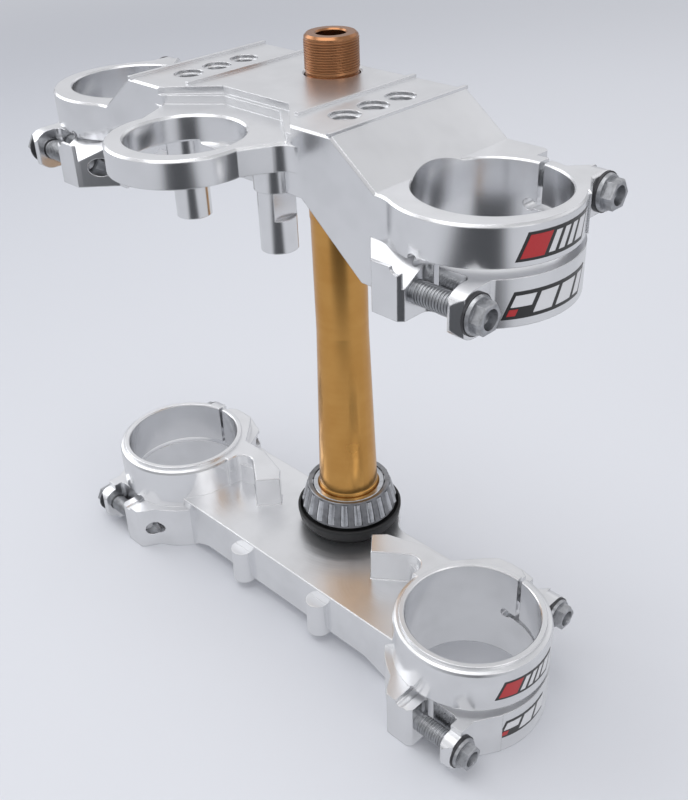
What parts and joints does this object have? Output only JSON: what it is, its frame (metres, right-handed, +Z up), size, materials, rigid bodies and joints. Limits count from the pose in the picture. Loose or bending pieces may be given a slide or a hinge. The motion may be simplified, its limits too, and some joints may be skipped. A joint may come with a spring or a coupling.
{
  "type": "motorcycle triple clamp",
  "caption": "Machined fork clamp set: stepped upper clamp with a front ring, flat lower clamp, tapered gold stem, lower tapered roller bearing, pinch bolts.",
  "frame": {"origin": "on the steering stem's axis, in the plane of the lower clamp's bottom faces", "axes": "+Z up along the stem, +X from the stem towards one fork leg, -Y towards the front"},
  "size_m": [0.275, 0.1317, 0.2723],
  "materials": {
    "machined_aluminium": "milled and lightly polished",
    "gold_anodised": "gold anodised, turned",
    "bearing_steel": "ground",
    "cage_steel": "pressed",
    "seal_rubber": "matt black",
    "zinc_bolt": "bright zinc",
    "dark_washer": "dark phosphate"
  },
  "bodies": {
    "clamps": {"upper_clamp": "machined_aluminium", "lower_clamp": "machined_aluminium", "steering_stem": "gold_anodised", "bearing_inner_race": "bearing_steel", "bearing_seal": "seal_rubber", "upper_front_bolt_right": "zinc_bolt", "upper_front_washer_right": "dark_washer", "upper_front_bolt_left": "zinc_bolt", "upper_front_washer_left": "dark_washer", "upper_rear_bolt_right": "zinc_bolt", "upper_rear_washer_right": "dark_washer", "upper_rear_bolt_left": "zinc_bolt", "upper_rear_washer_left": "dark_washer", "lower_front_bolt_right": "zinc_bolt", "lower_front_washer_right": "dark_washer", "lower_front_bolt_left": "zinc_bolt", "lower_front_washer_left": "dark_washer", "lower_rear_bolt_right": "zinc_bolt", "lower_rear_washer_right": "dark_washer", "lower_rear_bolt_left": "zinc_bolt", "lower_rear_washer_left": "dark_washer"},
    "cage": {"bearing_cage": "cage_steel"},
    "roller_01": {"bearing_roller_01": "bearing_steel"},
    "roller_02": {"bearing_roller_02": "bearing_steel"},
    "roller_03": {"bearing_roller_03": "bearing_steel"},
    "roller_04": {"bearing_roller_04": "bearing_steel"},
    "roller_05": {"bearing_roller_05": "bearing_steel"},
    "roller_06": {"bearing_roller_06": "bearing_steel"},
    "roller_07": {"bearing_roller_07": "bearing_steel"},
    "roller_08": {"bearing_roller_08": "bearing_steel"},
    "roller_09": {"bearing_roller_09": "bearing_steel"},
    "roller_10": {"bearing_roller_10": "bearing_steel"},
    "roller_11": {"bearing_roller_11": "bearing_steel"},
    "roller_12": {"bearing_roller_12": "bearing_steel"},
    "roller_13": {"bearing_roller_13": "bearing_steel"},
    "roller_14": {"bearing_roller_14": "bearing_steel"},
    "roller_15": {"bearing_roller_15": "bearing_steel"},
    "roller_16": {"bearing_roller_16": "bearing_steel"},
    "roller_17": {"bearing_roller_17": "bearing_steel"},
    "roller_18": {"bearing_roller_18": "bearing_steel"},
    "roller_19": {"bearing_roller_19": "bearing_steel"},
    "roller_20": {"bearing_roller_20": "bearing_steel"},
    "roller_21": {"bearing_roller_21": "bearing_steel"}
  },
  "joints": [
    {"name": "cage_spin", "type": "hinge", "parent": "clamps", "child": "cage", "pos_m": [0, 0, 0.0462], "axis": [0, 0, 1], "continuous": true},
    {"name": "roller_01_spin", "type": "hinge", "parent": "cage", "child": "roller_01", "pos_m": [0.0204, 0, 0.0462], "axis": [-0.2419, 0, 0.9703], "continuous": true},
    {"name": "roller_02_spin", "type": "hinge", "parent": "cage", "child": "roller_02", "pos_m": [0.01949, 0.00601, 0.0462], "axis": [-0.2312, -0.0713, 0.9703], "continuous": true},
    {"name": "roller_03_spin", "type": "hinge", "parent": "cage", "child": "roller_03", "pos_m": [0.01686, 0.01149, 0.0462], "axis": [-0.1999, -0.1363, 0.9703], "continuous": true},
    {"name": "roller_04_spin", "type": "hinge", "parent": "cage", "child": "roller_04", "pos_m": [0.01272, 0.01595, 0.0462], "axis": [-0.1508, -0.1891, 0.9703], "continuous": true},
    {"name": "roller_05_spin", "type": "hinge", "parent": "cage", "child": "roller_05", "pos_m": [0.00745, 0.01899, 0.0462], "axis": [-0.0884, -0.2252, 0.9703], "continuous": true},
    {"name": "roller_06_spin", "type": "hinge", "parent": "cage", "child": "roller_06", "pos_m": [0.00152, 0.02034, 0.0462], "axis": [-0.0181, -0.2412, 0.9703], "continuous": true},
    {"name": "roller_07_spin", "type": "hinge", "parent": "cage", "child": "roller_07", "pos_m": [-0.00454, 0.01989, 0.0462], "axis": [0.0538, -0.2359, 0.9703], "continuous": true},
    {"name": "roller_08_spin", "type": "hinge", "parent": "cage", "child": "roller_08", "pos_m": [-0.0102, 0.01767, 0.0462], "axis": [0.121, -0.2095, 0.9703], "continuous": true},
    {"name": "roller_09_spin", "type": "hinge", "parent": "cage", "child": "roller_09", "pos_m": [-0.01495, 0.01388, 0.0462], "axis": [0.1773, -0.1645, 0.9703], "continuous": true},
    {"name": "roller_10_spin", "type": "hinge", "parent": "cage", "child": "roller_10", "pos_m": [-0.01838, 0.00885, 0.0462], "axis": [0.218, -0.105, 0.9703], "continuous": true},
    {"name": "roller_11_spin", "type": "hinge", "parent": "cage", "child": "roller_11", "pos_m": [-0.02017, 0.00304, 0.0462], "axis": [0.2392, -0.0361, 0.9703], "continuous": true},
    {"name": "roller_12_spin", "type": "hinge", "parent": "cage", "child": "roller_12", "pos_m": [-0.02017, -0.00304, 0.0462], "axis": [0.2392, 0.0361, 0.9703], "continuous": true},
    {"name": "roller_13_spin", "type": "hinge", "parent": "cage", "child": "roller_13", "pos_m": [-0.01838, -0.00885, 0.0462], "axis": [0.218, 0.105, 0.9703], "continuous": true},
    {"name": "roller_14_spin", "type": "hinge", "parent": "cage", "child": "roller_14", "pos_m": [-0.01495, -0.01388, 0.0462], "axis": [0.1773, 0.1645, 0.9703], "continuous": true},
    {"name": "roller_15_spin", "type": "hinge", "parent": "cage", "child": "roller_15", "pos_m": [-0.0102, -0.01767, 0.0462], "axis": [0.121, 0.2095, 0.9703], "continuous": true},
    {"name": "roller_16_spin", "type": "hinge", "parent": "cage", "child": "roller_16", "pos_m": [-0.00454, -0.01989, 0.0462], "axis": [0.0538, 0.2359, 0.9703], "continuous": true},
    {"name": "roller_17_spin", "type": "hinge", "parent": "cage", "child": "roller_17", "pos_m": [0.00152, -0.02034, 0.0462], "axis": [-0.0181, 0.2412, 0.9703], "continuous": true},
    {"name": "roller_18_spin", "type": "hinge", "parent": "cage", "child": "roller_18", "pos_m": [0.00745, -0.01899, 0.0462], "axis": [-0.0884, 0.2252, 0.9703], "continuous": true},
    {"name": "roller_19_spin", "type": "hinge", "parent": "cage", "child": "roller_19", "pos_m": [0.01272, -0.01595, 0.0462], "axis": [-0.1508, 0.1891, 0.9703], "continuous": true},
    {"name": "roller_20_spin", "type": "hinge", "parent": "cage", "child": "roller_20", "pos_m": [0.01686, -0.01149, 0.0462], "axis": [-0.1999, 0.1363, 0.9703], "continuous": true},
    {"name": "roller_21_spin", "type": "hinge", "parent": "cage", "child": "roller_21", "pos_m": [0.01949, -0.00601, 0.0462], "axis": [-0.2312, 0.0713, 0.9703], "continuous": true}
  ],
  "couplings": [
    {"joint": "roller_01_spin", "follows": "cage_spin", "ratio": 7.3562},
    {"joint": "roller_02_spin", "follows": "cage_spin", "ratio": 7.3562},
    {"joint": "roller_03_spin", "follows": "cage_spin", "ratio": 7.3562},
    {"joint": "roller_04_spin", "follows": "cage_spin", "ratio": 7.3562},
    {"joint": "roller_05_spin", "follows": "cage_spin", "ratio": 7.3562},
    {"joint": "roller_06_spin", "follows": "cage_spin", "ratio": 7.3562},
    {"joint": "roller_07_spin", "follows": "cage_spin", "ratio": 7.3562},
    {"joint": "roller_08_spin", "follows": "cage_spin", "ratio": 7.3562},
    {"joint": "roller_09_spin", "follows": "cage_spin", "ratio": 7.3562},
    {"joint": "roller_10_spin", "follows": "cage_spin", "ratio": 7.3562},
    {"joint": "roller_11_spin", "follows": "cage_spin", "ratio": 7.3562},
    {"joint": "roller_12_spin", "follows": "cage_spin", "ratio": 7.3562},
    {"joint": "roller_13_spin", "follows": "cage_spin", "ratio": 7.3562},
    {"joint": "roller_14_spin", "follows": "cage_spin", "ratio": 7.3562},
    {"joint": "roller_15_spin", "follows": "cage_spin", "ratio": 7.3562},
    {"joint": "roller_16_spin", "follows": "cage_spin", "ratio": 7.3562},
    {"joint": "roller_17_spin", "follows": "cage_spin", "ratio": 7.3562},
    {"joint": "roller_18_spin", "follows": "cage_spin", "ratio": 7.3562},
    {"joint": "roller_19_spin", "follows": "cage_spin", "ratio": 7.3562},
    {"joint": "roller_20_spin", "follows": "cage_spin", "ratio": 7.3562},
    {"joint": "roller_21_spin", "follows": "cage_spin", "ratio": 7.3562}
  ]
}
